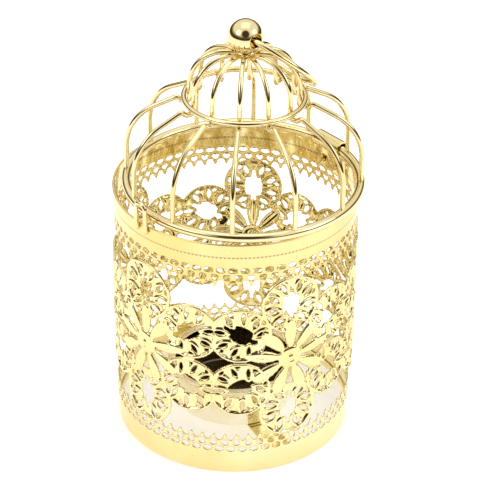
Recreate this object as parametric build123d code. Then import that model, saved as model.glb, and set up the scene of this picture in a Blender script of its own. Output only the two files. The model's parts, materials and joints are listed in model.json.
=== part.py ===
from build123d import *
from math import atan2, cos, degrees, radians, sin
import os

# Bird-cage tea-light lantern: an open-bottomed cylinder of pierced sheet with five stamped
# flowers round it, a candle cup on a cross strap, and a hinged wire dome with a ball finial,
# a hanging ring and a loop that keeps the dome shut.
#
# Frame: millimetres, +Z up, the lantern stands on z = 0, the body's axis is the Z axis and
# the side with the latch half-left and the seam half-right faces -Y.
# Azimuths are in degrees, 0 towards -Y and growing towards +X.

# ---- sheet wall ------------------------------------------------------------------------
wall_radius = 40.0          # outside of the plain sheet
sheet = 0.5
body_height = 88.6
flower_count = 5
first_flower = 27.0         # azimuth of flower 1
holes_per_flower = 13       # border holes between one flower's axis and the next

# ---- pierced borders, measured from the nearer edge of the wall ------------------------
tooth_tip = 15.4
tooth_valley = 13.2
oval_level = 9.6
oval_width = 2.5
oval_height = 1.7
drop_level = 12.2
drop_width = 1.9
drop_height = 2.0

# ---- hems ------------------------------------------------------------------------------
hem = 0.4                   # extra thickness of each folded edge
foot_hem_height = 3.0       # folded inwards
rim_hem_height = 4.6        # folded outwards

# ---- flower panels ---------------------------------------------------------------------
hub_radius = 4.2
hub_rise = 1.3
petal_count = 9
petal_root = 2.6
petal_tip = 14.7
petal_width = 4.3
flower_gap_radius = 10.6    # where the lobes stop round the petals
lobe_width = 20.6           # upright lobes above and below the flower
lobe_foot = 9.6             # where an upright lobe starts, behind the petals
lobe_overlap = 1.6          # how far an upright lobe runs in behind the teeth
side_lobe = 20.6            # the four round lobes beside the flower
side_lobe_tilt = 32.0       # direction of their windows and leaves
side_lobe_trim = 1.87       # cut off a round lobe where it meets the next panel's
side_lobe_rise = 10.4
slit = 0.5                  # between the upper and the lower round lobes
leaf_length = 3.7
leaf_width = 1.3
leaf_ring = 0.655           # where the leaf holes stand, as a share of the lobe
leaf_turns = (24, 66, 106, 146)
leaf_lean = 0.78
window_length = 0.64        # shares of the lobe
window_width = 0.30

# ---- candle cup and its strap ----------------------------------------------------------
cup_bore_radius = 19.75     # takes a 38 to 39 mm tea light
cup_wall = 0.5
cup_floor = 0.6
cup_bottom = 4.0
cup_depth = 15.0
cup_lip = 2.45
strap_width = 8.0
strap_thickness = 0.8
strap_tab = 5.0
strap_azimuth = first_flower

# ---- lid -------------------------------------------------------------------------------
lid_shift = (2.4, -0.6)     # the lid sits a little off the body's axis
ring_inset = 1.8            # the base ring's wire inside the wall's face
base_wire = 3.1
seat_gap = 0.25             # between the base ring and the wall's rim
rib_count = 12
first_rib = -5.0
rib_wire = 1.7
mid_ring_radius = 19.4
mid_wire = 1.9
mid_ring_rise = 31.4        # mid ring above the wall's rim
shoulder_rise = 21.6        # corner of the shoulder above the rim
shoulder_bend = 17.0
crown_rise = 46.6
crown_bend = 11.5
curl_drop = 2.7             # how far the rib hooks under the mid ring
curl_out = 2.2
boss_radius = 3.6
ball_radius = 5.7
ball_lift = 5.7             # ball's middle above the ribs' ends
ball_bore = 4.6
boss_foot = 1.1             # boss below the ribs' ends

# ---- hanging ring ----------------------------------------------------------------------
hang_azimuth = 130.0        # the side that the ring lies down to
hang_radius = 16.2
hang_wire = 1.8
hang_gap = 0.3              # to the ribs that it rests against
hang_slack = 0.8

# ---- lid hinge -------------------------------------------------------------------------
hinge_azimuth = 130.0
hinge_length = 12.0
hinge_sheet = 0.6
hinge_clearance = 0.6
hinge_tail = 9.0
rivet_spacing = 6.8
rivet_radius = 0.8
rivet_head_radius = 1.4
rivet_head = 0.5
rivet_drop = 5.4            # below the rim

# ---- latch loop ------------------------------------------------------------------------
latch_azimuth = -46.0
latch_width = 4.2           # between the two legs' centre lines
latch_wire = 1.5
latch_drop = 2.0            # holes below the rim
latch_rise = 8.4            # top of the loop above the rim
latch_stand_off = 0.1       # between the legs and the rim's hem
latch_bend = 1.0
latch_tail = 1.6            # inside the wall
latch_hole = 2.7

base_ring_radius = wall_radius - ring_inset
pitch = 360 / (flower_count * holes_per_flower)
panel_angle = 360 / flower_count
middle = body_height / 2
inner_radius = wall_radius - sheet
rim_radius = wall_radius + hem
ring_level = body_height + seat_gap + base_wire / 2
ball_level = body_height + crown_rise + ball_lift
mid_level = body_height + mid_ring_rise
lid_axis = Pos(lid_shift[0], lid_shift[1], 0)


def outward(azimuth):
    """Horizontal unit vector at an azimuth."""
    return Vector(sin(radians(azimuth)), -cos(radians(azimuth)), 0)


def facing(azimuth):
    """Turns what was drawn on the +X side to an azimuth."""
    return Rot(0, 0, azimuth - 90)


def hoop(inner, outer, low, high):
    """Plain tube between two radii and two levels."""
    tube = Cylinder(outer, high - low) - Cylinder(inner, high - low)
    return Pos(0, 0, (low + high) / 2) * tube


def through_wall(outline, level):
    """Cuts an outline, drawn with x across and y up, through the wall on the +X side."""
    plane = Plane(origin=(wall_radius - 3, 0, level), x_dir=(0, 1, 0), z_dir=(1, 0, 0))
    return extrude(plane * outline, 6)


def lens(across, up, length, width, angle):
    """Pointed leaf of two arcs; across is measured round the wall."""
    along = Vector(cos(radians(angle)), sin(radians(angle)))
    side = Vector(-along.Y, along.X)
    centre = Vector(across, up)
    ends = [centre - along * length / 2, centre + along * length / 2]
    sides = [centre - side * width / 2, centre + side * width / 2]

    def flat(p):
        return (wall_radius * sin(p.X / wall_radius), p.Y)

    arcs = [ThreePointArc(flat(ends[0]), flat(s), flat(ends[1])) for s in sides]
    return make_face(Wire(arcs))


# ---- pierced border, drawn for the bottom edge -----------------------------------------
def border_band():
    """Plain hoop with its row of ovals, its row of drops and its teeth."""
    band = hoop(inner_radius, wall_radius, 0, tooth_tip)
    half = wall_radius * radians(pitch) / 2
    notch = make_face(Polyline((0, tooth_valley), (half, tooth_tip + 0.4),
                               (-half, tooth_tip + 0.4), close=True))
    drop = make_face(Polyline((-drop_width / 2, -drop_height / 2),
                              (drop_width / 2, -drop_height / 2),
                              (0, drop_height / 2), close=True))
    oval_cut = through_wall(Ellipse(oval_width / 2, oval_height / 2), oval_level)
    notch_cut = through_wall(notch, 0)
    drop_cut = through_wall(drop, drop_level)
    cuts = []
    for k in range(flower_count * holes_per_flower):
        azimuth = first_flower + k * pitch
        cuts += [facing(azimuth) * oval_cut, facing(azimuth) * notch_cut]
        cuts.append(facing(azimuth + pitch / 2) * drop_cut)
    return band - cuts


# ---- one flower panel, on the +X side --------------------------------------------------
def leafy_lobe(across, up, length, width, angle):
    """Solid lobe, its leaf holes round the edge and the window down its middle."""
    here = Pos(wall_radius * sin(across / wall_radius), up) * Rot(0, 0, angle)
    squash = cos(across / wall_radius)
    body = here * Ellipse(length / 2 * squash, width / 2)
    holes = [lens(across, up, length * window_length, width * window_width, angle)]
    a = radians(angle)
    for turn in leaf_turns:
        for side in (1, -1):
            x = leaf_ring * length / 2 * cos(radians(turn))
            y = leaf_ring * width / 2 * sin(radians(turn)) * side
            centre = (across + x * cos(a) - y * sin(a), up + x * sin(a) + y * cos(a))
            holes.append(lens(*centre, leaf_length, leaf_width, angle + side * turn * leaf_lean))
    return body, holes


def flower_pattern():
    """Flat outline of one panel, its middle at the origin."""
    far = middle - tooth_tip + lobe_overlap
    upright = far - lobe_foot
    side_lobe_across = wall_radius * radians(panel_angle / 2) + side_lobe_trim - side_lobe / 2
    places = [(0, s * (far - upright / 2), upright, lobe_width, s * 90) for s in (1, -1)]
    for sx in (1, -1):
        for sy in (1, -1):
            angle = sy * side_lobe_tilt if sx > 0 else 180 - sy * side_lobe_tilt
            place = (sx * side_lobe_across, sy * side_lobe_rise)
            places.append((*place, side_lobe, side_lobe, angle))
    lobes = []
    holes = [Rectangle(3 * wall_radius, slit), Circle(flower_gap_radius)]
    for place in places:
        body, cuts = leafy_lobe(*place)
        lobes.append(body)
        holes += cuts
    pattern = lobes[0] + lobes[1:]
    pattern = pattern - holes
    pattern = pattern + Circle(hub_radius)
    long = petal_tip - petal_root
    for k in range(petal_count):
        turn = 90 + 360 / petal_count * k
        centre = (petal_root + long / 2) * Vector(cos(radians(turn)), sin(radians(turn)))
        pattern = pattern + lens(centre.X, centre.Y, long, petal_width, turn)
    return pattern


def flower_panel():
    plane = Plane(origin=(wall_radius / 2, 0, middle), x_dir=(0, 1, 0), z_dir=(1, 0, 0))
    block = extrude(plane * flower_pattern(), wall_radius)
    wall = hoop(inner_radius, wall_radius, 0, body_height)
    side = 2 * wall_radius
    corners = [(0, 0)]
    for s in (-1, 1):
        corners.append((side * cos(radians(panel_angle / 2)),
                        s * side * sin(radians(panel_angle / 2))))
    wedge = extrude(make_face(Polyline(*corners, close=True)), body_height)
    panel = wall & wedge & block
    cap_radius = (hub_radius ** 2 + hub_rise ** 2) / (2 * hub_rise)
    cap = Pos(wall_radius + hub_rise - cap_radius, 0, middle) * Sphere(cap_radius)
    cap = cap - Pos(0, 0, middle) * Cylinder(wall_radius - sheet / 2, 4 * hub_radius)
    return panel + cap


# ---- candle cup and the strap that carries it ------------------------------------------
def candle_cup():
    outside = cup_bore_radius + cup_wall
    top = cup_bottom + cup_floor + cup_depth
    cup = Pos(0, 0, (cup_bottom + top) / 2) * Cylinder(outside, top - cup_bottom)
    cup = fillet(cup.edges().group_by(Axis.Z)[0], 1.2)
    lip = Pos(0, 0, top - cup_wall / 2) * Cylinder(outside + cup_lip, cup_wall)
    bore = Pos(0, 0, cup_bottom + cup_floor + cup_depth) * Cylinder(cup_bore_radius, 2 * cup_depth)
    return cup + lip - bore


def cup_strap():
    low = cup_bottom - strap_thickness
    top = low + strap_tab
    bar = Pos(0, 0, cup_bottom - strap_thickness / 2)
    bar = bar * Box(2 * inner_radius, strap_width, strap_thickness)
    tabs = Pos(0, 0, (low + top) / 2) * Box(2 * inner_radius, strap_width, strap_tab)
    tabs = tabs - Pos(0, 0, (low + top) / 2) * Cylinder(inner_radius - strap_thickness, strap_tab)
    inside = Pos(0, 0, (low + top) / 2) * Cylinder(inner_radius, 2 * strap_tab)
    return facing(strap_azimuth) * ((bar + tabs) & inside)


# ---- lid: one rib in the XZ plane, worked out from the rings that it joins --------------
def base_ring():
    return Pos(0, 0, ring_level) * Torus(base_ring_radius, base_wire / 2)


def crown_boss():
    low = body_height + crown_rise - boss_foot
    high = ball_level - ball_radius * 0.7
    boss = Pos(0, 0, (low + high) / 2) * Cylinder(boss_radius, high - low)
    return boss - Pos(0, 0, ball_level) * Sphere(ball_radius)


def rib_path():
    inside = mid_ring_radius - mid_wire
    hook = mid_level - curl_drop
    outside = mid_ring_radius + curl_out
    return FilletPolyline(
        (base_ring_radius, 0, ring_level),
        (base_ring_radius, 0, body_height + shoulder_rise),
        (outside, 0, mid_level - mid_wire * 0.7),
        (outside - 1.2, 0, hook),
        (inside, 0, hook),
        (inside, 0, body_height + crown_rise),
        (boss_radius - 0.4, 0, body_height + crown_rise),
        radius=[shoulder_bend, 0.95, 0.95, 1.3, crown_bend],
    )


def rib():
    path = rib_path()
    start = Plane(origin=path @ 0, z_dir=path % 0)
    wire = sweep(start * Circle(rib_wire / 2), path=path)
    boss_core = Pos(0, 0, body_height + crown_rise) * Cylinder(boss_radius, 4 * rib_wire)
    return wire - base_ring() - boss_core


def finial_ball():
    ball = Pos(0, 0, ball_level) * Sphere(ball_radius)
    across = Plane(origin=(0, 0, ball_level), z_dir=outward(hang_azimuth - 90))
    return ball - across * Cylinder(ball_bore / 2, 3 * ball_radius)


def ring_frame(angle):
    """Middle of the hanging ring, its downhill direction and its level one."""
    slope = outward(hang_azimuth) * cos(radians(angle))
    slope = slope - Vector(0, 0, 1) * sin(radians(angle))
    along = outward(hang_azimuth - 90)
    return Vector(0, 0, ball_level) + slope * (hang_radius - hang_slack), slope, along


def rest_angle():
    """How far below level the ring hangs when it first meets a rib, found in ever finer
    steps. Distances are taken between points on the ring's and the ribs' centre lines."""
    path = rib_path()
    profile = [path @ (k / 300) for k in range(301)]
    azimuths = [first_rib + k * 360 / rib_count for k in range(rib_count)]
    near = [a for a in azimuths if cos(radians(a - hang_azimuth)) > 0.3]
    ribs = [outward(a) * p.X + Vector(0, 0, p.Z) for a in near for p in profile]
    reach = (rib_wire + hang_wire) / 2 + hang_gap
    angle = 0.0
    for step in (4.0, 1.0, 0.25, 0.05):
        while angle < 85:
            centre, slope, along = ring_frame(angle + step)
            normal = slope.cross(along)
            off = [p - centre for p in ribs]
            flat = [((o - normal * o.dot(normal)).length - hang_radius, o.dot(normal)) for o in off]
            if min(a * a + b * b for a, b in flat) < reach ** 2:
                break
            angle += step
    return angle


def hang_ring():
    centre, slope, along = ring_frame(rest_angle())
    plane = Plane(origin=centre, x_dir=along, z_dir=along.cross(slope))
    return plane * Torus(hang_radius, hang_wire / 2)


# ---- hinge: a sheet strap rolled over the base ring and riveted to the wall -------------
def hinge_parts():
    """Gives the strap and its two rivets."""
    pin = outward(hinge_azimuth) * base_ring_radius
    pin = pin + Vector(lid_shift[0], lid_shift[1], ring_level)
    knuckle = base_wire / 2 + hinge_clearance
    along = Plane(origin=pin, z_dir=outward(hinge_azimuth - 90))
    roll = along * Cylinder(knuckle + hinge_sheet, hinge_length)
    roll = roll - along * Cylinder(knuckle, hinge_length + 1)
    azimuth = degrees(atan2(pin.X, -pin.Y))
    low = body_height - hinge_tail
    tail = hoop(rim_radius, rim_radius + hinge_sheet, low, ring_level - knuckle)
    keep = facing(azimuth) * Pos(wall_radius, 0, middle) * Box(20, hinge_length, 2 * body_height)
    tail = tail & keep
    spacer = hoop(wall_radius, rim_radius, low, body_height - rim_hem_height) & keep
    strap = roll - hoop(inner_radius - seat_gap, rim_radius, 0, body_height + seat_gap)
    strap = strap + tail + spacer
    rivets = []
    for s in (-1, 1):
        spot = facing(azimuth) * Pos(0, s * rivet_spacing / 2, body_height - rivet_drop)
        turn = Rot(0, 90, 0)
        shank_end = rim_radius + hinge_sheet
        length = shank_end - inner_radius + 1.0
        shank = Pos(shank_end - length / 2, 0, 0) * turn * Cylinder(rivet_radius, length)
        head = Pos(shank_end + rivet_head / 2 - 0.1, 0, 0) * turn
        head = head * Cylinder(rivet_head_radius, rivet_head + 0.2)
        tail_end = Pos(inner_radius - 0.5, 0, 0) * turn * Cylinder(rivet_head_radius, 0.6)
        rivets.append(spot * (shank + head + tail_end))
    strap = strap - rivets
    return strap, rivets


def latch_loop():
    leg = rim_radius + latch_stand_off + latch_wire / 2
    foot = body_height - latch_drop
    tip = inner_radius - latch_tail
    half = latch_width / 2
    top = body_height + latch_rise - latch_wire / 2
    path = FilletPolyline(
        (tip, -half, foot), (leg, -half, foot), (leg, -half, top),
        (leg, half, top), (leg, half, foot), (tip, half, foot),
        radius=[latch_bend, half - 0.05, half - 0.05, latch_bend],
    )
    start = Plane(origin=path @ 0, z_dir=path % 0)
    return facing(latch_azimuth) * sweep(start * Circle(latch_wire / 2), path=path)


def latch_holes():
    holes = []
    for s in (-1, 1):
        spot = Pos(wall_radius, s * latch_width / 2, body_height - latch_drop) * Rot(0, 90, 0)
        holes.append(facing(latch_azimuth) * spot * Cylinder(latch_hole / 2, 6))
    return holes


# ---- assembly --------------------------------------------------------------------------
panel = flower_panel()
panels = []
for k in range(flower_count):
    panels.append(facing(first_flower + k * panel_angle) * panel)

strap, rivets = hinge_parts()
border = border_band()
foot_hem = hoop(inner_radius - hem, inner_radius, 0, foot_hem_height)
bottom_band = border + foot_hem - panels
rim_hem = hoop(wall_radius, rim_radius, body_height - rim_hem_height, body_height)
top_band = Pos(0, 0, body_height) * Rot(180, 0, 0) * Rot(0, 0, 2 * first_flower) * border
top_band = top_band + rim_hem - panels - latch_holes() - rivets

parts = {
    "bottom_band": bottom_band,
    "top_band": top_band,
    "candle_cup": candle_cup(),
    "cup_strap": cup_strap(),
    "hinge_strap": strap,
    "hinge_rivets": Compound(children=[Part(r.wrapped) for r in rivets]),
    "latch_loop": latch_loop(),
    "lid_base_ring": lid_axis * base_ring(),
    "lid_mid_ring": lid_axis * Pos(0, 0, mid_level) * Torus(mid_ring_radius, mid_wire / 2),
    "crown_boss": lid_axis * crown_boss(),
    "finial_ball": lid_axis * finial_ball(),
    "hang_ring": lid_axis * hang_ring(),
}
for k, shape in enumerate(panels):
    parts[f"flower_panel_{k + 1}"] = shape
one_rib = rib()
for k in range(rib_count):
    azimuth = first_rib + k * 360 / rib_count
    parts[f"rib_{k + 1:02d}"] = lid_axis * facing(azimuth) * one_rib

os.makedirs("parts", exist_ok=True)
for name, shape in parts.items():
    export_step(shape, f"parts/{name}.step")
    print(name, len(shape.solids()), round(shape.volume, 2))
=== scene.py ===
import json
from math import atan2, cos, degrees, pi, radians, sin

import bmesh
import bpy
import numpy as np
from bpy.props import FloatProperty, FloatVectorProperty, IntProperty, PointerProperty
from mathutils import Matrix, Vector


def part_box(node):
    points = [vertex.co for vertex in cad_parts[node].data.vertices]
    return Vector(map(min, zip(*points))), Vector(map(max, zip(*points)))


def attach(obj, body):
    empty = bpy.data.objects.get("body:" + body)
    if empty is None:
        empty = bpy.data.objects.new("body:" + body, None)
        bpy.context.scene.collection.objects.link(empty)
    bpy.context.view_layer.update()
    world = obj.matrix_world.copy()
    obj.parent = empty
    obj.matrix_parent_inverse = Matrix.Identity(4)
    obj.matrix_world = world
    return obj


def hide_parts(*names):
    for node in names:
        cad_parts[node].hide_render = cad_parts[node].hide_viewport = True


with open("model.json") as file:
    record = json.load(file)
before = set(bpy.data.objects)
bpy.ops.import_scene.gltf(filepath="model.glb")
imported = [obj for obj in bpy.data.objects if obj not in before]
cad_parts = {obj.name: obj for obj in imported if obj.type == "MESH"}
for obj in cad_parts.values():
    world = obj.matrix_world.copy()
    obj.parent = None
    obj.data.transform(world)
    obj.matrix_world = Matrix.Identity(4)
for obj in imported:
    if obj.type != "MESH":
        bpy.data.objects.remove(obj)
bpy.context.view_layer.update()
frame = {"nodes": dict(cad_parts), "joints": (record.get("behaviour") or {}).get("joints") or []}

bl_info = {
    "name": "Bird-cage tea-light lantern",
    "version": (1, 0, 0),
    "blender": (4, 5, 0),
    "location": "View3D > Sidebar > Lantern",
    "description": "Builds a gold-plated bird-cage lantern of pierced sheet and wire",
    "category": "Object",
}

MM = 0.001
TURN = 2 * pi

# How often the parts repeat, and where they stand: azimuths are in degrees from the front,
# and positive to the right.
FLOWERS = 5
FIRST_FLOWER = 27
BORDER_REPEATS = 65
RIBS = 12
FIRST_RIB = -5
RING_AZIMUTH = 130
BORE_AZIMUTH = RING_AZIMUTH - 90


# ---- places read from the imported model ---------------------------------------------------
def corners(node):
    """A node's lowest and highest corners in millimetres."""
    low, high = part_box(node)
    return np.array(low, float) / MM, np.array(high, float) / MM


def middle_of(node):
    """The middle of a node's box in millimetres."""
    low, high = corners(node)
    return (low + high) / 2


FOOT = corners("bottom_band")
RIM = corners("top_band")
RIM_TOP = RIM[1][2]
WALL_R = FOOT[1][0]
RING = corners("lid_base_ring")
RING_MIDDLE = (RING[0] + RING[1]) / 2
RING_WIRE = (RING[1] - RING[0])[2] / 2
RING_R = (RING[1] - RING[0])[0] / 2 - RING_WIRE
MID = corners("lid_mid_ring")
MID_MIDDLE = (MID[0] + MID[1]) / 2
MID_WIRE = (MID[1] - MID[0])[2] / 2
MID_R = (MID[1] - MID[0])[0] / 2 - MID_WIRE
BALL = corners("finial_ball")
BALL_R = (BALL[1] - BALL[0])[2] / 2
BALL_AT = np.array([RING_MIDDLE[0], RING_MIDDLE[1], (BALL[0][2] + BALL[1][2]) / 2])
BOSS = corners("crown_boss")
CUP = corners("candle_cup")
RIB = corners("rib_04")
TEETH = FOOT[1][2]
LATCH_AT = np.array(next(j for j in frame["joints"] if j["name"] == "latch_tilt")["pos_m"]) / MM


# Sizes of the cup, the wires, the latch and the sheet in millimetres.
CUP_BORE = 19.75              # radius inside
CUP_WALL = 0.5
CUP_FLOOR = 0.6
SHOULDER_RISE = 21.6          # of the corner of a rib's shoulder above the rim
HOOK_DROP = 2.7               # of a rib's hook below the shoulder ring's centre line
HOOK_OUT = 2.2                # of a rib's hook outside that line
RIB_END = 2.6                 # of a rib from the dome's middle, at the crown
RING_SLACK = 0.8              # between the hanging ring's centre line and the ball's middle
LATCH_WIDTH = 4.2             # between the centre lines of the legs
LATCH_STAND_OFF = 0.5         # from the wall to the loop's legs, past the rim's fold
LATCH_TAIL = 2.1              # of the loop's ends inside the wall
SKIN = 0.02                   # of the sheet's face inside the wall's radius
PANEL_LAP = 0.2               # of the flower panels over the border
REPEAT_STEPS = 12             # columns of points to one repeat of the border
PLAIN_MARGIN = 1.7            # from the ovals' middles to the plain part of the border
UP = np.array([0.0, 0.0, 1.0])


# ---- sizes and colours -------------------------------------------------------------------
def size(name, text, value, low=0.0):
    return FloatProperty(name=name, description=text, default=value * MM, min=low,
                         unit="LENGTH", subtype="DISTANCE", precision=5)


def colour(name, text, value):
    return FloatVectorProperty(name=name, description=text, default=value, size=3,
                               subtype="COLOR", min=0.0, max=1.0)


class LanternSizes(bpy.types.PropertyGroup):
    sheet: size("Sheet", "Thickness of the pierced sheet", 0.42)
    cell: size("Sheet detail", "Spacing of the points that make up the pierced sheet", 0.3)
    petal_rise: size("Petal rise", "How far the petals are pressed out", 0.95)
    lobe_rise: size("Lobe rise", "How far the lobes' edges are pressed out", 0.6)
    strand: size("Strand", "Width of the outline round each lobe", 1.25)
    oval_level: size("Oval row", "Height of the row of ovals above the foot", 9.6)
    drop_level: size("Drop row", "Height of the row of drops above the foot", 12.3)
    tooth_valley: size("Tooth valley", "Height of the notches between the teeth", 13.1)
    fold: size("Fold", "Radius of the folded edges, at the middle of the sheet", 0.2)
    fold_height: size("Rim fold height", "How far the rim is folded down outside", 4.6)
    hem: size("Foot hem", "How far the foot is folded up inside", 3.0)
    crimp: size("Crimp spacing", "Spacing of the marks along the rim's fold", 1.289)
    rib_wire: size("Rib wire", "Diameter of the dome's ribs", 1.7)
    shoulder_bend: size("Shoulder bend", "Radius of the ribs' shoulder", 17.0)
    crown_bend: size("Crown bend", "Radius of the ribs' upper bend", 11.5)
    ring_wire: size("Hanging ring wire", "Diameter of the hanging ring's wire", 1.8)
    ring_radius: size("Hanging ring", "Radius of the hanging ring", 16.2)
    ball_bore: size("Ball bore", "Diameter of the cross hole in the ball", 4.6)
    latch_wire: size("Latch wire", "Diameter of the latch loop's wire", 1.5)
    petals: IntProperty(name="Petals", description="Petals round each flower", default=9, min=3)
    wire_sides: IntProperty(name="Wire sides", description="Faces round a wire", default=20, min=6)


class LanternColours(bpy.types.PropertyGroup):
    gold: colour("Gold", "Plating on the sheet", (0.89, 0.775, 0.42))
    rim: colour("Rim gold", "Plating on the rim's fold", (0.845, 0.69, 0.31))
    wire: colour("Wire gold", "Plating on the wires", (0.85, 0.725, 0.41))
    cup: colour("Cup gold", "Plating on the candle cup", (0.97, 0.91, 0.74))
    # Painted shade: a dark copy of the cup's plating for its inside faces, standing in for the shade and dark
    # reflection there.
    inside: colour("Cup inside painted shade", "Dull dark metal inside the candle cup", (0.15, 0.125, 0.09))
    tarnish: colour("Tarnish", "Thin brown plating in specks and clouds", (0.46, 0.34, 0.14))
    # Painted shade: a dark colour laid under the rim's crimped fold, standing in for the shade in that
    # crevice.
    crimp_painted_shade: colour("Crimp painted shade", "Dull metal under the crimped edge of the fold", (0.36, 0.30, 0.15))
    floor: colour("Floor", "Pale table top", (0.97, 0.97, 0.97))


def sizes():
    """The lantern's sizes, in metres as Blender keeps them."""
    return bpy.context.scene.lantern_sizes


def mm(value):
    """A length in metres given in millimetres."""
    return value / MM


# ---- shader expressions ------------------------------------------------------------------
class Sock:
    """A node socket that takes part in Python arithmetic."""

    def __init__(self, tree, out):
        self.tree = tree
        self.out = out

    def maths(self, kind, other, swap=False):
        first, second = (other, self) if swap else (self, other)
        return self.tree.node("ShaderNodeMath", {"operation": kind}, {0: first, 1: second})

    def __add__(self, other):
        return self.maths("ADD", other)

    def __radd__(self, other):
        return self.maths("ADD", other, True)

    def __sub__(self, other):
        return self.maths("SUBTRACT", other)

    def __rsub__(self, other):
        return self.maths("SUBTRACT", other, True)

    def __mul__(self, other):
        return self.maths("MULTIPLY", other)

    def __rmul__(self, other):
        return self.maths("MULTIPLY", other, True)


class Tree:
    """Builds a material's nodes from expressions."""

    def __init__(self, material):
        material.use_nodes = True
        self.tree = material.node_tree
        self.tree.nodes.clear()

    def node(self, kind, settings=None, inputs=None, out=0):
        """Any node: its type, its settings, then the values or links of its sockets."""
        made = self.tree.nodes.new(kind)
        for key, value in (settings or {}).items():
            if key == "stops":
                ramp = made.color_ramp
                while len(ramp.elements) < len(value):
                    ramp.elements.new(0.5)
                for element, (place, shade) in zip(ramp.elements, value):
                    element.position = place
                    element.color = (*shade, 1) if len(shade) == 3 else shade
            else:
                setattr(made, key, value)
        for key, value in (inputs or {}).items():
            if isinstance(value, Sock):
                self.tree.links.new(value.out, made.inputs[key])
            elif hasattr(value, "__len__") and len(value) == 3 and made.inputs[key].type == "RGBA":
                made.inputs[key].default_value = (*value, 1)
            else:
                made.inputs[key].default_value = value
        return Sock(self, made.outputs[out]) if len(made.outputs) else made

    def mix(self, factor, a, b):
        settings = {"data_type": "RGBA", "blend_type": "MIX"}
        return self.node("ShaderNodeMix", settings, {0: factor, 6: a, 7: b}, 2)

    def noise(self, where, scale, detail=2.0, rough=0.5):
        inputs = {"Vector": where, "Scale": scale, "Detail": detail, "Roughness": rough}
        return self.node("ShaderNodeTexNoise", {}, inputs)

    def between(self, value, low, high):
        """Rises smoothly from 0 at low to 1 at high."""
        settings = {"interpolation_type": "SMOOTHSTEP"}
        return self.node("ShaderNodeMapRange", settings, {0: value, 1: low, 2: high})


def crimp_shade_mask(t, where):
    """Where painted shade sits in the crimped edge of the rim's fold: a dark line just under the fold, darker
    at each mark, where the crevice is in shade. The marks are a cosine of the angle round the wall, measured
    like azimuth."""
    s = sizes()
    x, y, z = (t.node("ShaderNodeSeparateXYZ", {}, {0: where}, axis) for axis in "XYZ")
    around = t.node("ShaderNodeMath", {"operation": "ARCTAN2"}, {0: x, 1: y * -1.0})
    mark = t.node("ShaderNodeMath", {"operation": "COSINE"}, {0: (around - radians(FIRST_FLOWER)) * crimps()})
    level = RIM_TOP * MM - s.fold_height - 0.22 * MM
    apart = t.node("ShaderNodeMath", {"operation": "ABSOLUTE"}, {0: z - level + mark * (0.1 * MM)})
    return (1 - t.between(apart, 0.10 * MM, 0.55 * MM)) * (0.62 + 0.34 * mark)


def plated(name, base, wave, rough, streak=0.0, crimped=False):
    """Mirror gold plating: slow colour drift, faint waviness of the metal under it, fine
    polishing scratches and a few brown specks where the plating is thin. Streaks are the fine
    rings that turning or drawing leaves, and a crimped plating has painted shade along the rim's fold."""
    colours = bpy.context.scene.lantern_colours
    base, tarnish = tuple(base), tuple(colours.tarnish)
    material = bpy.data.materials.new(name)
    t = Tree(material)
    where = t.node("ShaderNodeTexCoord", out="Object")
    drift = t.noise(where, 38.0)
    specks = t.between(t.noise(where, 1500.0), 0.68, 0.80)
    clouds = t.between(t.noise(where, 210.0, detail=4.0, rough=0.6), 0.50, 0.78)
    stretch = t.node("ShaderNodeMapping", {}, {"Vector": where, "Scale": (1.0, 1.0, 24.0)})
    scratches = t.between(t.noise(stretch, 330.0), 0.58, 0.82)
    pale = tuple(min(1.0, c * 1.04 + 0.02) for c in base)
    warm = (base[0], base[1] * 0.95, base[2] * 0.82)
    shade = t.mix(t.between(drift, 0.35, 0.65), warm, pale)
    shade = t.mix(specks * 0.55 + clouds * 0.05, shade, tarnish)
    # Painted shade: the crevice under the rim's crimped fold is darkened in the colour, most at each crimp
    # mark.
    if crimped:
        shade = t.mix(crimp_shade_mask(t, where), shade, tuple(colours.crimp_painted_shade))
    rough = rough + 0.09 * clouds + 0.10 * scratches + 0.25 * specks
    height = t.noise(where, 95.0) * wave + t.noise(where, 420.0) * (wave * 0.12)
    height = height + scratches * 0.004 + clouds * 0.006
    if streak:
        lines = t.node("ShaderNodeTexWave", {"bands_direction": "Z"},
                       {"Vector": where, "Scale": 260.0, "Distortion": 1.5, "Detail": 2.0})
        rough = rough + lines * streak
    normal = t.node("ShaderNodeBump", {}, {"Strength": 0.35, "Distance": 0.0006, "Height": height})
    gold = t.node("ShaderNodeBsdfPrincipled", {}, {
        "Base Color": shade, "Metallic": 1.0, "Roughness": rough, "Normal": normal})
    t.node("ShaderNodeOutputMaterial", {}, {"Surface": gold})
    return material


def finish_of(name):
    """The platings, made once and shared by the pieces."""
    known = bpy.data.materials.get(name)
    if known:
        return known
    c = bpy.context.scene.lantern_colours
    recipes = {
        "stamped_gold": {"base": c.gold, "wave": 0.16, "rough": 0.075},
        "rim_gold": {"base": c.rim, "wave": 0.12, "rough": 0.085, "crimped": True},
        "wire_gold": {"base": c.wire, "wave": 0.05, "rough": 0.05},
        "turned_gold": {"base": c.wire, "wave": 0.03, "rough": 0.045},
        "cup_gold": {"base": c.cup, "wave": 0.10, "rough": 0.16, "streak": 0.05},
        # The cup's inside: a dark copy of the cup plating, painted shade.
        "cup_inside_painted_shade": {"base": c.inside, "wave": 0.10, "rough": 0.22, "streak": 0.05},
    }
    return plated(name, **recipes[name])


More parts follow.
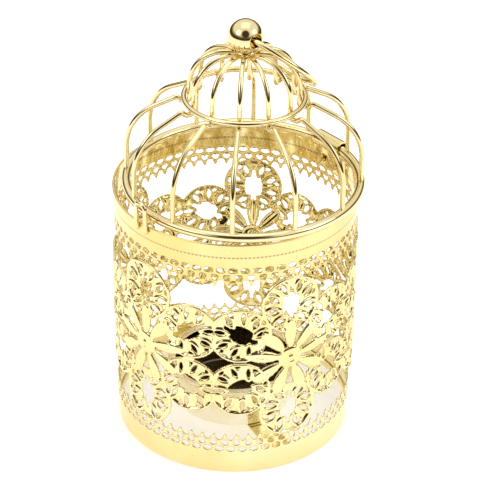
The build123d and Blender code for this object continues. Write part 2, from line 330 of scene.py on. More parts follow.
# ---- meshes ------------------------------------------------------------------------------
def put(name, points, faces, finish, body, slot, stands_for=(), weld=False):
    """Makes a piece from points in millimetres and an array of faces. Welding draws a grid's
    last row, shrunk to nothing, into one point, so that its pole is closed."""
    mesh = bpy.data.meshes.new(name)
    points = np.asarray(points, float) * MM
    faces = np.asarray(faces, np.int32)
    mesh.vertices.add(len(points))
    mesh.vertices.foreach_set("co", points.ravel())
    mesh.loops.add(faces.size)
    mesh.loops.foreach_set("vertex_index", faces.ravel())
    mesh.polygons.add(len(faces))
    mesh.polygons.foreach_set("loop_start", np.arange(len(faces), dtype=np.int32) * faces.shape[1])
    mesh.update(calc_edges=True)
    if weld:
        shape = bmesh.new()
        shape.from_mesh(mesh)
        bmesh.ops.remove_doubles(shape, verts=shape.verts, dist=0.002 * MM)
        shape.to_mesh(mesh)
        shape.free()
    mesh.validate()
    mesh.polygons.foreach_set("use_smooth", np.ones(len(mesh.polygons), bool))
    mesh.materials.append(finish_of(finish))
    piece = bpy.data.objects.new(name, mesh)
    bpy.context.scene.collection.objects.link(piece)
    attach(piece, body)
    if stands_for:
        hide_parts(*stands_for)
    return piece


def grid_faces(rows, columns, close_rows=False, close_columns=False):
    """Quads of a grid of rows x columns points, closed round either way if asked."""
    i = np.arange(rows if close_rows else rows - 1)
    j = np.arange(columns if close_columns else columns - 1)
    i, j = (a.ravel() for a in np.meshgrid(i, j, indexing="ij"))
    below, right = (i + 1) % rows, (j + 1) % columns
    corner = (i, j), (i, right), (below, right), (below, j)
    return np.stack([row * columns + column for row, column in corner], 1)


def out(azimuth):
    """The level direction that points away from the middle at an azimuth."""
    a = radians(azimuth)
    return np.array([sin(a), -cos(a), 0.0])


def crimps():
    """How many crimp marks go round the rim."""
    return round(TURN * WALL_R / mm(sizes().crimp))


def unit(v):
    """Vectors of length one, along the last axis."""
    return v / np.linalg.norm(v, axis=-1, keepdims=True)


def tube(path, radius, reference, closed=False, sides=None):
    """Round wire along a path: at each point a circle of the wire's radius stands square to
    the path's tangent, turned so that its first radius leans as near as it can to the
    reference direction. Open ends are closed by a low dome of circles shrinking to a point."""
    sides = sides or sizes().wire_sides
    path = np.asarray(path, float)
    radii = np.full(len(path), radius)
    if closed:
        tangent = unit(np.roll(path, -1, 0) - np.roll(path, 1, 0))
    else:
        tangent = unit(np.gradient(path, axis=0))
        turn = np.radians([90, 72, 45, 20])
        cap = np.cos(turn) * radius
        lift = np.sin(turn) * radius * 0.35
        first = path[0] - tangent[0] * lift[:, None]
        last = path[-1] + tangent[-1] * lift[::-1, None]
        path = np.vstack([first, path, last])
        tangent = np.repeat(tangent, [5] + [1] * (len(tangent) - 2) + [5], axis=0)
        radii = np.concatenate([cap, radii, cap[::-1]])
    side = unit(reference - (tangent @ reference)[:, None] * tangent)
    other = np.cross(tangent, side)
    angle = np.arange(sides) / sides * TURN
    ring = side[:, None] * np.cos(angle)[None, :, None] + other[:, None] * np.sin(angle)[None, :, None]
    points = path[:, None] + ring * radii[:, None, None]
    return points.reshape(-1, 3), grid_faces(len(path), sides, closed, True)


def rounded(points, bends, step=0.35):
    """A polyline whose corners are arcs: each corner is left and met where its arc of the
    given radius touches the two runs, and the arc is sampled evenly by angle."""
    points = [np.array(p, float) for p in points]
    pieces = [points[0][None]]
    for before, here, after, bend in zip(points, points[1:], points[2:], bends):
        a, b = unit(before - here), unit(after - here)
        half = np.arccos(np.clip(a @ b, -1, 1)) / 2
        reach = bend / np.tan(half)
        centre = here + unit(a + b) * bend / np.sin(half)
        sweep = pi - 2 * half
        count = max(4, int(sweep * bend / step))
        t = np.linspace(0, sweep, count)[:, None]
        start = unit(here + a * reach - centre)
        forward = -a
        pieces.append(centre + bend * (start * np.cos(t) + forward * np.sin(t)))
    pieces.append(points[-1][None])
    line = np.vstack(pieces)
    length = np.concatenate([[0], np.cumsum(np.linalg.norm(np.diff(line, axis=0), axis=1))])
    wanted = np.arange(0, length[-1], step * 2)
    every = np.unique(np.concatenate([length, wanted]).round(3))
    return np.stack([np.interp(every, length, line[:, k]) for k in range(3)], 1)


def lathe(profile, centre, axis=(0, 0, 1), steps=96, closed=False):
    """Surface of revolution: each (radius, height) of the profile goes round the axis. A closed
    profile comes back to its start; an open one begins and ends on the axis."""
    axis = unit(np.array(axis, float))
    first = np.cross(axis, (0.0, 0.0, 1.0)) if abs(axis[2]) < 0.9 else np.array([1.0, 0.0, 0.0])
    first = unit(first)
    second = np.cross(axis, first)
    profile = np.asarray(profile, float)
    a = np.arange(steps) / steps * TURN
    round_it = first * np.cos(a)[:, None] + second * np.sin(a)[:, None]
    points = centre + profile[:, 0, None, None] * round_it + profile[:, 1, None, None] * axis
    return points.reshape(-1, 3), grid_faces(len(profile), steps, closed, True)


def hoop_path(centre, radius, x_axis, y_axis, count):
    """Points evenly round a circle in the plane of two directions."""
    a = np.arange(count)[:, None] / count * TURN
    return centre + radius * (np.cos(a) * x_axis + np.sin(a) * y_axis)


# ---- pierced sheet -----------------------------------------------------------------------
# A pierced sheet is worked out on a flat grid. Each outline gives a depth: how far a point is
# inside it, in millimetres, and negative outside. The lesser of two depths is what both hold,
# and the greater is what either holds.
OUTSIDE = -9.0


def lens(u, v, x, y, length, width, angle):
    """Depth inside a pointed leaf made by two arcs: the lesser of the depths in two discs."""
    a = radians(angle)
    along = (u - x) * cos(a) + (v - y) * sin(a)
    across = -(u - x) * sin(a) + (v - y) * cos(a)
    arc = (length ** 2 + width ** 2) / (4 * width)
    return arc - np.hypot(along, np.abs(across) + arc - width / 2)


def egg(u, v, x, y, length, width, angle, lean=0.0):
    """Depth inside an ellipse, which lean makes wider towards its far end, or narrower if it is
    negative. With a point's distance as a share of the ellipse's radius that way, the depth is
    one minus the share, divided by how fast the share grows."""
    a = radians(angle)
    along = (u - x) * cos(a) + (v - y) * sin(a)
    across = -(u - x) * sin(a) + (v - y) * cos(a)
    across = across / (1 + lean * along / (length / 2))
    p, q = length / 2, width / 2
    reach = np.hypot(along / p, across / q) + 1e-6
    slope = np.hypot(along / p ** 2, across / q ** 2) / reach + 1e-6
    return (1 - reach) / slope


def pillow(depth, width, rise):
    """Pressed relief: rises from the edge as a quarter round and is level past the width."""
    t = np.clip(depth / width, 0, 1)
    return rise * np.sqrt(1 - (1 - t) ** 2)


def cut_sheet(depth, u, v, cell_u, cell_v):
    """Slides the points nearer to the outline than about half a cell onto it, down the slope
    of the depth, and says which points are in the sheet."""
    cell = max(cell_u, cell_v)
    dv, du = np.gradient(depth, cell_v, cell_u)
    steep = du ** 2 + dv ** 2 + 1e-9
    near = np.abs(depth) < 0.62 * cell
    move = np.where(near, depth / steep, 0.0)
    limit = 0.7 * cell
    move_u = np.clip(-move * du, -limit, limit)
    move_v = np.clip(-move * dv, -limit, limit)
    inside = (depth > 0) | near
    return u + move_u, v + move_v, inside


def kept_cells(inside, rows, columns, close_columns=False):
    """The cells of a grid whose four corners are all in the sheet."""
    faces = grid_faces(rows, columns, False, close_columns)
    return faces[inside.ravel()[faces].all(1)]


def tidy_sheet(points, faces):
    """Leaves out the points that no face uses."""
    used = np.unique(faces)
    lookup = np.zeros(len(points), np.int64)
    lookup[used] = np.arange(len(used))
    return points[used], lookup[faces]


def thicken(piece):
    """Gives a sheet its thickness, behind the face that was worked out."""
    made = piece.modifiers.new("Sheet", "SOLIDIFY")
    made.thickness = sizes().sheet
    made.offset = -1.0


# Shape of one flower panel in millimetres and degrees. Lengths and widths are of the whole
# leaf, window or lobe.
LOBE_FOOT = 9.6               # from the flower's middle to the upright lobes
LOBE_WIDTH = 20.6
LOBE_OVERLAP = 1.6            # of an upright lobe over the border
LOBE_LEAN = 0.06              # makes the upright lobes wider at their far end
SIDE_LOBE = 20.6              # length of a side lobe
SIDE_LOBE_OUT = 16.7          # its middle, from the flower's middle
SIDE_LOBE_RISE = 10.4
SIDE_TILT = 32
SLIT = 0.5                    # between the upper and the lower side lobe
WINDOW_SHARE = (0.64, 0.30)   # of the lobe's length and width
LEAF = (7.2, 4.0)             # length and width, as of the two kinds of hole
LEAF_HOLE = (3.7, 1.3)
LEAF_TURNS = (24, 66, 106, 146)   # from the lobe's tip to each leaf
LEAF_RING = 0.655             # of the lobe's outline
NICK = (1.9, 1.1)             # the small holes between the leaves and the outline
NICK_RING = 1.24              # of the leaves' ring
NICK_SHIFT = 1.75             # along the outline
FLOWER_GAP = 10.6             # the lobes end here, and only petals go on
PETAL_MIDDLE = 9.1
PETAL_HALF_LENGTH = 5.6
PETAL_HALF_WIDTH = 2.2
NECK_HALF_WIDTH = 1.05
NECK = (2.0, 7.0)             # where a petal's neck begins and ends
HUB_RADIUS = 4.2
HUB_RISE = 1.3
DIMPLE_RADIUS = 1.3           # of the round groove in the hub
DIMPLE_DEPTH = 0.42
GROOVE_WIDTH = 0.42
PILLOW_WIDTH = 2.1            # over which a petal rounds up from its edge
CREASE_WIDTH = 0.45
CREASE_DEPTH = 0.35           # of a petal's relief

# Shape of the borders.
OVAL = (3.05, 1.9)            # length and width of the ovals
DROP = (2.3, 2.3)             # and of the drops
DROP_TAPER = -0.38
TOOTH_POWER = 1.7


def leaf_row(x, y, length, width, angle):
    """Leaves of one lobe as (middle x, middle y, angle). They stand on an ellipse inside its
    outline, four each side of the window, and lean towards the lobe's tip like a feather."""
    leaves = []
    a = radians(angle)
    for turn in LEAF_TURNS:
        for side in (1, -1):
            t = radians(side * turn)
            p, q = LEAF_RING * length / 2 * cos(t), LEAF_RING * width / 2 * sin(t)
            lean = side * (turn * 0.78 + 6)
            leaves.append((x + p * cos(a) - q * sin(a), y + p * sin(a) + q * cos(a), angle + lean))
    return leaves


def leafy_lobe(u, v, x, y, length, width, angle, inside):
    """Depth and relief of one lobe. Its outline is a raised strip. Inside it stand leaves,
    each pierced by a slit, round a clear window, with small holes between the leaves."""
    s = sizes()
    strand = mm(s.strand)
    strip = np.minimum(inside, strand - inside)
    relief = pillow(strip, strand * 0.5, mm(s.lobe_rise) * 1.3)
    long, wide = WINDOW_SHARE
    window = lens(u, v, x * 0.99, y, long * length, wide * width, angle)
    body = np.minimum(inside, -window)
    holes = np.full(u.shape, OUTSIDE)
    for k, (px, py, turn) in enumerate(leaf_row(x, y, length, width, angle)):
        leaf = lens(u, v, px, py, *LEAF, turn)
        hole = lens(u, v, px, py, *LEAF_HOLE, turn)
        relief = np.maximum(relief, pillow(np.minimum(leaf, -hole), 1.0, mm(s.lobe_rise)))
        body = np.maximum(body, np.minimum(leaf, inside))
        holes = np.maximum(holes, hole)
        nx, ny = x + (px - x) * NICK_RING, y + (py - y) * NICK_RING
        shift = NICK_SHIFT * (1 if k % 2 else -1)
        nx, ny = nx + shift * (py - y) / (0.33 * length), ny - shift * (px - x) / (0.33 * length)
        nick = lens(u, v, nx, ny, *NICK, turn + 60)
        holes = np.maximum(holes, np.minimum(nick, inside - strand))
    relief = relief * np.clip(-holes / 0.5, 0.35, 1)
    return np.minimum(body, -holes), relief * (inside > -0.3)


def flower_sheet(u, v, reach):
    """Depth and relief of one flower panel; u round the wall, v up from its middle.
    Six lobes stand round a flower. Petals are ellipses on necks, pressed out as pillows with
    a crease along the middle, round a domed hub with a round groove."""
    s = sizes()
    depth = np.full(u.shape, OUTSIDE)
    relief = np.zeros(u.shape)
    half = pi * WALL_R / FLOWERS
    far = reach + LOBE_OVERLAP
    length = far - LOBE_FOOT
    lobes = [(0, k * (far - length / 2), length, LOBE_WIDTH, k * 90, LOBE_LEAN) for k in (1, -1)]
    for sx in (1, -1):
        for sy in (1, -1):
            angle = sy * SIDE_TILT if sx > 0 else 180 - sy * SIDE_TILT
            lobes.append((sx * SIDE_LOBE_OUT, sy * SIDE_LOBE_RISE, SIDE_LOBE, LOBE_WIDTH, angle, 0.0))
    for x, y, long, wide, angle, lean in lobes:
        inside = egg(u, v, x, y, long, wide, angle, lean)
        if x:
            in_panel = np.minimum(half + mm(s.strand) / 2 - np.abs(u), np.abs(v) - SLIT / 2)
            inside = np.minimum(inside, in_panel)
        body, raised = leafy_lobe(u, v, x, y, long, wide, angle, inside)
        relief = np.maximum(relief, raised)
        depth = np.maximum(depth, body)
    apart = np.hypot(u, v)
    depth = np.minimum(depth, apart - FLOWER_GAP)
    share = 360 / s.petals
    turn = np.degrees(np.arctan2(v, u)) - 90
    local = np.radians((turn + share / 2) % share - share / 2)
    along = apart * np.cos(local)
    across = apart * np.sin(local)
    t = np.clip((along - PETAL_MIDDLE) / PETAL_HALF_LENGTH, -1, 1)
    outline = PETAL_HALF_WIDTH * np.sqrt(1 - t ** 2) * (1 + 0.15 * t) - np.abs(across)
    petal = np.minimum(outline * 0.9, PETAL_HALF_LENGTH - np.abs(along - PETAL_MIDDLE))
    neck = np.minimum(NECK_HALF_WIDTH - np.abs(across), np.minimum(along - NECK[0], NECK[1] - along))
    petal = np.maximum(petal, neck)
    crease = 1 - CREASE_DEPTH * np.exp(-(across / CREASE_WIDTH) ** 2)
    cup = pillow(petal, PILLOW_WIDTH, mm(s.petal_rise)) * crease
    dome = HUB_RISE * np.sqrt(np.clip(1 - (apart / (HUB_RADIUS + 0.2)) ** 2, 0, 1)) + 0.05
    groove = DIMPLE_DEPTH * np.exp(-((apart - DIMPLE_RADIUS) / GROOVE_WIDTH) ** 2) * (apart < 2.4)
    hub = HUB_RADIUS - apart
    raised = np.where(petal > 0, cup + 0.08, 0)
    relief = np.where(petal > -0.1, np.maximum(raised, relief * (petal < 0.3)), relief)
    relief = np.where(hub > 0, np.maximum(dome - groove, relief * 0.4), relief)
    depth = np.maximum(depth, np.maximum(petal, hub))
    return depth, relief


def on_wall(u, v, radius, azimuth):
    """Wraps a flat sheet round the wall: u is the distance round it, v the height."""
    a = radians(azimuth) + u / WALL_R
    return np.stack([radius * np.sin(a), -radius * np.cos(a), v + 0 * radius], -1).reshape(-1, 3)


def border_depth(u, v, pitch):
    """Depth of the border strip: below the teeth and outside the ovals and the drops. A drop
    is an egg that points to its tooth; a tooth is a raised cosine to a power, which makes it a
    bell with a narrow tip."""
    s = sizes()
    valley = mm(s.tooth_valley)
    from_oval = (u + pitch / 2) % pitch - pitch / 2
    from_drop = u % pitch - pitch / 2
    oval = egg(from_oval, v, 0, mm(s.oval_level), *OVAL, 0)
    drop = egg(from_drop, v, 0, mm(s.drop_level), *DROP, 90, DROP_TAPER)
    bell = (0.5 - 0.5 * np.cos(TURN * u / pitch)) ** TOOTH_POWER
    teeth = (valley + (TEETH - valley) * bell - v) * 0.8
    return np.minimum(np.minimum(teeth, -oval), -drop)


# ---- operators ---------------------------------------------------------------------------
class Piece:
    """What all the operators share."""
    bl_options = {"REGISTER", "UNDO"}


class LANTERN_OT_panels(Piece, bpy.types.Operator):
    """Flower panels: pierced sheet pressed into petals and leaves"""
    bl_idname = "lantern.panels"
    bl_label = "Flower panels"

    def execute(self, context):
        cell = mm(sizes().cell)
        middle = RIM_TOP / 2
        reach = middle - TEETH
        half = pi * WALL_R / FLOWERS
        tall = reach + 2 * LOBE_OVERLAP
        columns = int(2 * half / cell) + 1
        rows = int(2 * tall / cell) + 1
        u1 = np.linspace(-half, half, columns)
        v1 = np.linspace(-tall, tall, rows)
        u, v = np.meshgrid(u1, v1)
        depth, relief = flower_sheet(u, v, reach + PANEL_LAP)
        fu, fv, inside = cut_sheet(depth, u, v, u1[1] - u1[0], v1[1] - v1[0])
        fu[:, 0], fu[:, -1] = -half, half
        lift = WALL_R - SKIN + relief
        for k in range(FLOWERS):
            azimuth = FIRST_FLOWER + 360 / FLOWERS * k
            points = on_wall(fu, fv + middle, lift, azimuth)
            points, faces = tidy_sheet(points, kept_cells(inside, rows, columns))
            thicken(put(f"pressed_flower_{k + 1}", points, faces, "stamped_gold", "cage",
                        "stamped_sheet", [f"flower_panel_{k + 1}"]))
        return {"FINISHED"}


class LANTERN_OT_bands(Piece, bpy.types.Operator):
    """Foot and rim bands: pierced borders with folded edges"""
    bl_idname = "lantern.bands"
    bl_label = "Foot and rim"

    def band(self, name, node, upper):
        """A strip round the wall as one grid: u runs round it and v away from its folded edge.
        The rows go down the hem, round the fold as a half circle and along the pierced wall.
        The foot is folded inwards, so the grid is the wall's outer face; the rim is folded
        outwards, so the grid is the wall's inner face, which becomes the outside of the hem."""
        s = sizes()
        sheet = mm(s.sheet)
        pitch = TURN * WALL_R / BORDER_REPEATS
        columns = BORDER_REPEATS * REPEAT_STEPS
        u1 = np.arange(columns) / columns * TURN * WALL_R
        fold = mm(s.fold) + sheet / 2
        folded = mm(s.fold_height) if upper else mm(s.hem)
        face, side = (WALL_R - sheet, 1.0) if upper else (WALL_R - SKIN, -1.0)
        solid = mm(s.oval_level) - PLAIN_MARGIN
        v1 = np.concatenate([np.linspace(fold, solid, 9)[:-1], np.linspace(solid, TEETH + 0.2, 28)])
        u, v = np.meshgrid(u1, v1)
        depth = border_depth(u, v, pitch)
        fine = v1 > solid - 0.1
        fu, fv, inside = u.copy(), v.copy(), np.ones(u.shape, bool)
        fu[fine], fv[fine], inside[fine] = cut_sheet(
            depth[fine], u[fine], v[fine], u1[1] - u1[0], v1[-1] - v1[-2])
        wall = face - 0.10 * np.exp(-np.clip(depth, 0, 9) / 0.35) * (v > solid - 0.4)
        turn = np.linspace(pi, 0, 11)[1:-1, None] + 0 * u1[None]
        bend_r = face + side * fold * (1 - np.cos(turn))
        bend_z = fold - fold * np.sin(turn)
        hem = np.concatenate([np.linspace(folded, folded - 1.5, 9)[:-1], np.linspace(folded - 1.5, fold, 6)])
        hem = hem[:, None] + 0 * u1[None]
        hem_r = face + side * 2 * fold + 0 * hem
        if upper:
            mark = 0.5 + 0.5 * np.cos(crimps() * u1[None] / WALL_R)
            hem_r = hem_r - 0.30 * mark * np.exp(-((hem - folded + 0.1) / 0.42) ** 2)
            hem = hem + 0.32 * mark * np.clip((hem - folded + 0.8) / 0.8, 0, 1)
        all_u = np.vstack([u1[None] + 0 * hem, u1[None] + 0 * turn, fu])
        all_v = np.vstack([hem, bend_z, fv])
        all_r = np.vstack([hem_r, bend_r, wall])
        keep = np.vstack([np.ones((len(hem) + len(turn), columns), bool), inside])
        points = on_wall(all_u, RIM_TOP - all_v if upper else all_v, all_r, FIRST_FLOWER)
        points, faces = tidy_sheet(points, kept_cells(keep, len(keep), columns, True))
        finish = "rim_gold" if upper else "stamped_gold"
        thicken(put(name, points, faces, finish, "cage", "stamped_sheet", [node]))

    def execute(self, context):
        self.band("foot_band", "bottom_band", False)
        self.band("rim_band", "top_band", True)
        return {"FINISHED"}


class LANTERN_OT_cup(Piece, bpy.types.Operator):
    """Candle cup: drawn cup with a turned-out lip"""
    bl_idname = "lantern.cup"
    bl_label = "Candle cup"

    def execute(self, context):
        """The profile goes from the middle of the base out and up the side, round the lip,
        down inside and back to the middle of the floor. Corners are quarter circles."""
        low, high = CUP
        lip, top, bottom = high[0], high[2], low[2]
        inner = CUP_BORE
        outer = CUP_BORE + CUP_WALL
        floor = bottom + CUP_FLOOR
        foot_bend, well_bend, neck_bend, edge = 1.2, 0.9, 0.5, 0.25
        a = np.linspace(0, pi / 2, 7)
        b = np.linspace(-pi / 2, pi / 2, 9)
        base = np.array([[0, bottom], [9, bottom], [17.5, bottom]])
        foot = np.stack([outer - foot_bend * (1 - np.sin(a)), bottom + foot_bend * (1 - np.cos(a))], 1)
        side = np.array([[outer, 8.0], [outer, 13.0]])
        under = np.stack([outer + neck_bend * (1 - np.cos(a)), top - 1.0 + neck_bend * np.sin(a)], 1)
        roll = np.stack([lip - edge + edge * np.cos(b), top - edge + edge * np.sin(b)], 1)
        inside = np.stack([inner + neck_bend * (1 - np.sin(a)), top - neck_bend * (1 - np.cos(a))], 1)
        wall = np.array([[inner, 15.0], [inner, 10.0], [inner, 7.0]])
        well = np.stack([inner - well_bend * (1 - np.cos(a)), floor + well_bend * (1 - np.sin(a))], 1)
        middle = np.array([[12, floor], [6, floor], [0, floor]])
        profile = np.vstack([base, foot, side, under, roll, inside, wall, well, middle])
        points, faces = lathe(profile, np.zeros(3), steps=128)
        piece = put("tea_light_cup", points, faces, "cup_gold", "cage", "cup_sheet", ["candle_cup"], True)
        # The faces inside the cup get the dark copy of the plating: painted shade and dark reflection where
        # the inside lies in shade.
        piece.data.materials.append(finish_of("cup_inside_painted_shade"))
        centre = np.empty(3 * len(piece.data.polygons))
        piece.data.polygons.foreach_get("center", centre)
        x, y, z = centre.reshape(-1, 3).T / MM
        shaded_within = (np.hypot(x, y) < inner + 0.1) & (z > floor - 0.1)
        piece.data.polygons.foreach_set("material_index", shaded_within.astype(np.int32))
        return {"FINISHED"}


class LANTERN_OT_rings(Piece, bpy.types.Operator):
    """Rings of the dome: the base ring that sits on the rim and the ring at the shoulder"""
    bl_idname = "lantern.rings"
    bl_label = "Dome rings"

    def ring(self, name, node, middle, radius, wire, steps, sides):
        x, y, z = np.eye(3)
        path = hoop_path(middle, radius, x, y, steps)
        put(name, *tube(path, wire, z, True, sides), "wire_gold", "lid", "wire", [node])

    def execute(self, context):
        self.ring("base_ring_wire", "lid_base_ring", RING_MIDDLE, RING_R, RING_WIRE, 200, 28)
        self.ring("shoulder_ring_wire", "lid_mid_ring", MID_MIDDLE, MID_R, MID_WIRE, 140, 20)
        return {"FINISHED"}


class LANTERN_OT_ribs(Piece, bpy.types.Operator):
    """Ribs: bent wires from the base ring over the shoulder ring to the crown"""
    bl_idname = "lantern.ribs"
    bl_label = "Ribs"

    def execute(self, context):
        """One rib as (distance from the middle, 0, height): up from the base ring, over the
        shoulder, down and back round the shoulder ring in a small hook, then up to the crown."""
        s = sizes()
        wire = mm(s.rib_wire) / 2
        crown = RIB[1][2] - wire
        hook = MID_MIDDLE[2] - HOOK_DROP
        outer = MID_R + HOOK_OUT
        inner = MID_R - 2 * MID_WIRE
        line = [(RING_R, 0, RING_MIDDLE[2] + RING_WIRE * 0.8), (RING_R, 0, RIM_TOP + SHOULDER_RISE),
                (outer, 0, MID_MIDDLE[2] - MID_WIRE * 1.4), (outer - 1.2, 0, hook), (inner, 0, hook),
                (inner, 0, crown), (RIB_END, 0, crown)]
        bends = [mm(s.shoulder_bend), 0.95, 0.95, 1.3, mm(s.crown_bend)]
        path = rounded(line, bends)
        for k in range(RIBS):
            way = out(FIRST_RIB + 360 / RIBS * k)
            flat = path[:, :1] * way + path[:, 2:] * UP + RING_MIDDLE * (1, 1, 0)
            points, faces = tube(flat, wire, np.cross(way, UP))
            put(f"rib_wire_{k + 1:02d}", points, faces, "wire_gold", "lid", "wire",
                [f"rib_{k + 1:02d}"], True)
        return {"FINISHED"}


class LANTERN_OT_finial(Piece, bpy.types.Operator):
    """Finial: drilled ball on its collar"""
    bl_idname = "lantern.finial"
    bl_label = "Ball and collar"

    def ball(self):
        """A sphere turned about its cross hole: the skin from mouth to mouth, a quarter round
        at each mouth and the wall of the hole."""
        bore = mm(sizes().ball_bore) / 2
        edge = 0.28
        start = np.arcsin((bore + edge) / BALL_R)
        a = np.linspace(start, pi - start, 64)
        skin = np.stack([BALL_R * np.sin(a), BALL_R * np.cos(a)], 1)
        mouth = BALL_R * cos(start)
        turn = np.linspace(0, pi / 2, 5)[1:]
        lip = np.stack([bore + edge - edge * np.sin(turn), -mouth + edge * (1 - np.cos(turn)) - 0.02], 1)
        inside = np.array([[bore, -2.0], [bore, 0.0], [bore, 2.0]])
        back = lip[::-1] * (1, -1)
        points, faces = lathe(np.vstack([skin, lip, inside, back]), BALL_AT, out(BORE_AZIMUTH), 96, True)
        put("drilled_ball", points, faces[:, ::-1], "turned_gold", "lid", "turned", ["finial_ball"])

    def collar(self):
        """A plug with rounded ends and a fine groove; its top goes a little into the ball."""
        low, high = BOSS
        r = (high - low)[0] / 2
        foot_bend, head_bend, groove_depth = 0.5, 0.7, 0.15
        bottom, head, top = low[2], high[2], high[2] + 0.6
        t = np.linspace(0, pi / 2, 6)
        foot = np.stack([r - foot_bend * (1 - np.sin(t)), bottom + foot_bend * (1 - np.cos(t))], 1)
        groove = np.array([[r, head - 1.5], [r - groove_depth, head - 1.35],
                           [r - groove_depth, head - 1.2], [r, head - 1.05]])
        crown = np.stack([r - head_bend * (1 - np.cos(t)), head - head_bend * (1 - np.sin(t))], 1)
        profile = np.vstack([[[0, bottom], [1.5, bottom]], foot, groove, crown, [[2.2, top], [0, top]]])
        points, faces = lathe(profile, BALL_AT * (1, 1, 0), steps=72)
        put("crown_collar", points, faces, "turned_gold", "lid", "turned", ["crown_boss"], True)

    def execute(self, context):
        self.ball()
        self.collar()
        return {"FINISHED"}


class LANTERN_OT_hanger(Piece, bpy.types.Operator):
    """Hanging ring: wire ring through the ball's cross hole"""
    bl_idname = "lantern.hanger"
    bl_label = "Hanging ring"

    def execute(self, context):
        """The ring leans on the dome. How steeply follows from how far its middle lies below
        the ball's."""
        s = sizes()
        reach = mm(s.ring_radius) - RING_SLACK
        drop = BALL_AT[2] - middle_of("hang_ring")[2]
        slope = np.arcsin(min(1.0, drop / reach))
        down = out(RING_AZIMUTH) * cos(slope) - UP * sin(slope)
        along = out(BORE_AZIMUTH)
        path = hoop_path(BALL_AT + down * reach, mm(s.ring_radius), down, along, 160)
        points, faces = tube(path, mm(s.ring_wire) / 2, np.cross(down, along), True)
        put("hanging_ring_wire", points, faces, "wire_gold", "hang_ring", "wire", ["hang_ring"])
        return {"FINISHED"}


class LANTERN_OT_latch(Piece, bpy.types.Operator):
    """Latch loop: bent wire whose ends turn in through the rim"""
    bl_idname = "lantern.latch"
    bl_label = "Latch loop"

    def execute(self, context):
        """The loop as (distance from the middle, sideways, height), turned to where it stands."""
        s = sizes()
        wire = mm(s.latch_wire) / 2
        leg = WALL_R + LATCH_STAND_OFF + wire
        foot = LATCH_AT[2]
        tip = WALL_R - LATCH_TAIL
        top = corners("latch_loop")[1][2] - wire
        half = LATCH_WIDTH / 2
        line = [(tip, -half, foot), (leg, -half, foot), (leg, -half, top), (leg, half, top),
                (leg, half, foot), (tip, half, foot)]
        path = rounded(line, [1.0, half - 0.05, half - 0.05, 1.0], 0.2)
        way = out(degrees(atan2(LATCH_AT[0], -LATCH_AT[1])))
        square = np.array([-way[1], way[0], 0])
        path = path[:, :1] * way + path[:, 1:2] * square + path[:, 2:] * UP
        points, faces = tube(path, wire, unit(way + square))
        put("latch_wire", points, faces, "wire_gold", "latch", "wire", ["latch_loop"], True)
        return {"FINISHED"}


class LANTERN_OT_fittings(Piece, bpy.types.Operator):
    """Hinge strap, its rivets and the cup's strap: plain sheet pieces with the same plating"""
    bl_idname = "lantern.fittings"
    bl_label = "Hinge and strap"

    def execute(self, context):
        for node, finish in (("hinge_strap", "stamped_gold"), ("hinge_rivets", "turned_gold"),
                             ("cup_strap", "stamped_gold")):
            for held in frame["nodes"][node].material_slots:
                held.material = finish_of(finish)
        return {"FINISHED"}


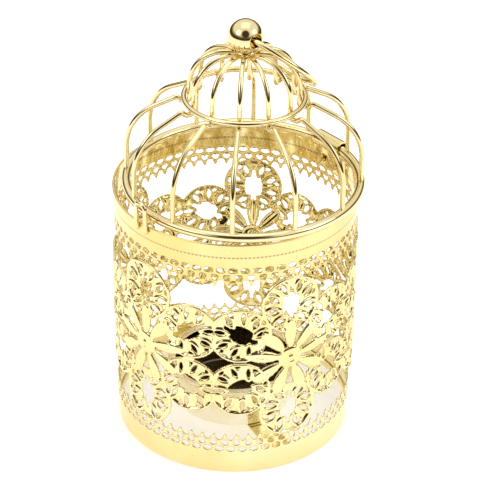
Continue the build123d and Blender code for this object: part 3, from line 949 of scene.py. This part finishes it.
class LANTERN_OT_stage(Piece, bpy.types.Operator):
    """Stage: pale table, soft lights and the camera"""
    bl_idname = "lantern.stage"
    bl_label = "Stage"

    def light(self, name, place, aim, side, power):
        lamp = bpy.data.lights.new(name, "AREA")
        lamp.shape, lamp.size, lamp.size_y = "RECTANGLE", side, side
        lamp.energy = power
        made = bpy.data.objects.new(name, lamp)
        made.location = place
        made.rotation_euler = (Vector(aim) - Vector(place)).to_track_quat("-Z", "Y").to_euler()
        bpy.context.scene.collection.objects.link(made)

    def table(self, scene):
        """A large square just under the foot, pale and faintly glowing."""
        mesh = bpy.data.meshes.new("table_top")
        r, under = 1.6, -0.0002
        square = [(-r, -r, under), (r, -r, under), (r, r, under), (-r, r, under)]
        mesh.from_pydata(square, [], [(0, 1, 2, 3)])
        table = bpy.data.objects.new("table_top", mesh)
        material = bpy.data.materials.new("table_paint")
        t = Tree(material)
        c = tuple(scene.lantern_colours.floor)
        paint = t.node("ShaderNodeBsdfPrincipled", {}, {
            "Base Color": c, "Roughness": 0.9, "Emission Color": c, "Emission Strength": 0.40})
        t.node("ShaderNodeOutputMaterial", {}, {"Surface": paint})
        mesh.materials.append(material)
        scene.collection.objects.link(table)

    def room(self, scene):
        """What the plating mirrors: a white room with a dark band at eye height and a dark
        patch in front. Behind the lantern the camera sees plain white."""
        world = bpy.data.worlds.new("Studio")
        scene.world = world
        t = Tree(world)
        way = t.node("ShaderNodeTexCoord", out="Generated")
        height = t.node("ShaderNodeSeparateXYZ", {}, {0: way}, "Z")
        band = t.node("ShaderNodeValToRGB", {"stops": (
            (0.0, (0.95, 0.95, 0.93)), (0.44, (0.80, 0.78, 0.74)), (0.475, (0.07, 0.05, 0.025)),
            (0.58, (0.06, 0.042, 0.02)), (0.65, (0.40, 0.37, 0.33)), (0.72, (1.0, 1.0, 1.0)),
            (1.0, (1.0, 1.0, 1.0)))}, {0: height * 0.5 + 0.5})
        towards = t.node("ShaderNodeVectorMath", {"operation": "DOT_PRODUCT"},
                         {0: way, 1: (0.0, -0.80, 0.60)}, 1)
        band = t.mix(t.between(towards, 0.86, 0.95), band, (0.06, 0.045, 0.03))
        seen = t.node("ShaderNodeLightPath", out="Is Camera Ray")
        studio = t.node("ShaderNodeBackground", {}, {"Color": band, "Strength": 1.0})
        plain = t.node("ShaderNodeBackground", {}, {"Color": (1.0, 1.0, 1.0), "Strength": 1.0})
        both = t.node("ShaderNodeMixShader", {}, {0: seen, 1: studio, 2: plain})
        t.node("ShaderNodeOutputWorld", {}, {"Surface": both})

    def camera(self, scene):
        """Looks down on the lantern from the front, about 32 degrees above level."""
        data = bpy.data.cameras.new("Camera")
        data.sensor_width = 36.0
        data.lens = 140.7
        data.shift_x, data.shift_y = 0.0227, 0.0196
        camera = bpy.data.objects.new("Camera", data)
        place = Vector((0, -0.547, 0.398))
        aim = Vector((0, 0, 0.060))
        roll = Matrix.Rotation(radians(0.77), 3, "Z")
        turn = (aim - place).to_track_quat("-Z", "Y").to_matrix() @ roll
        camera.matrix_world = Matrix.Translation(place) @ turn.to_4x4()
        scene.collection.objects.link(camera)
        scene.camera = camera

    def execute(self, context):
        scene = context.scene
        scene.view_settings.view_transform = "Standard"
        self.table(scene)
        self.room(scene)
        self.light("Left softbox", (-0.75, -0.45, 0.75), (0, 0, 0.07), 0.5, 1.1)
        self.light("Right softbox", (0.8, -0.2, 0.6), (0, 0, 0.07), 0.5, 1.1)
        self.light("Top softbox", (0.0, 0.15, 1.0), (0, 0, 0.05), 0.7, 1.0)
        self.camera(scene)
        return {"FINISHED"}


OPERATORS = (LANTERN_OT_stage, LANTERN_OT_panels, LANTERN_OT_bands, LANTERN_OT_cup, LANTERN_OT_rings,
             LANTERN_OT_ribs, LANTERN_OT_finial, LANTERN_OT_hanger, LANTERN_OT_latch, LANTERN_OT_fittings)


class LANTERN_PT_panel(bpy.types.Panel):
    """Lists the lantern's pieces, sizes and colours"""
    bl_label = "Lantern"
    bl_idname = "LANTERN_PT_panel"
    bl_space_type = "VIEW_3D"
    bl_region_type = "UI"
    bl_category = "Lantern"

    def draw(self, context):
        for made in OPERATORS:
            self.layout.operator(made.bl_idname)
        for group in (context.scene.lantern_sizes, context.scene.lantern_colours):
            for name in group.bl_rna.properties.keys():
                if name not in ("rna_type", "name"):
                    self.layout.prop(group, name)


CLASSES = (LanternSizes, LanternColours, *OPERATORS, LANTERN_PT_panel)


def register():
    for made in CLASSES:
        bpy.utils.register_class(made)
    bpy.types.Scene.lantern_sizes = PointerProperty(type=LanternSizes)
    bpy.types.Scene.lantern_colours = PointerProperty(type=LanternColours)


def unregister():
    del bpy.types.Scene.lantern_colours
    del bpy.types.Scene.lantern_sizes
    for made in reversed(CLASSES):
        bpy.utils.unregister_class(made)


def main():
    register()
    for made in OPERATORS:
        group, name = made.bl_idname.split(".")
        getattr(getattr(bpy.ops, group), name)()


if __name__ == "__main__":
    main()
